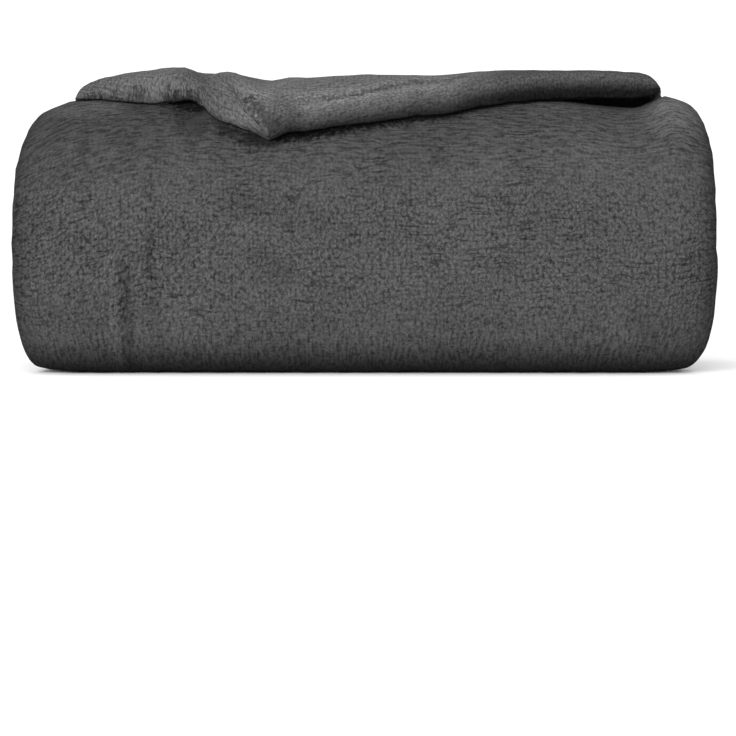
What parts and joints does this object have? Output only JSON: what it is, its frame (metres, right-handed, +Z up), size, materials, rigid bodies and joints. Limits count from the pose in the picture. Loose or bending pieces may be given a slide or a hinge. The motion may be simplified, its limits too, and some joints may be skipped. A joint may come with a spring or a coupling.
{
  "type": "folded fleece blanket",
  "caption": "Dark grey plush fleece blanket, folded into a neat stack with its rounded fold to the front and the last length laid over the top as a loose flap.",
  "frame": {"origin": "centre of the bounding box in plan, on the surface the folded blanket lies on", "axes": "+X to the right along the folded width seen from the front, +Y towards the back, +Z up through the layers; the rounded front fold faces -Y"},
  "size_m": [0.3804, 0.2486, 0.1714],
  "materials": {
    "fleece": "short brushed pile, matt"
  },
  "bodies": {
    "root": {"blanket": "fleece"}
  },
  "joints": []
}
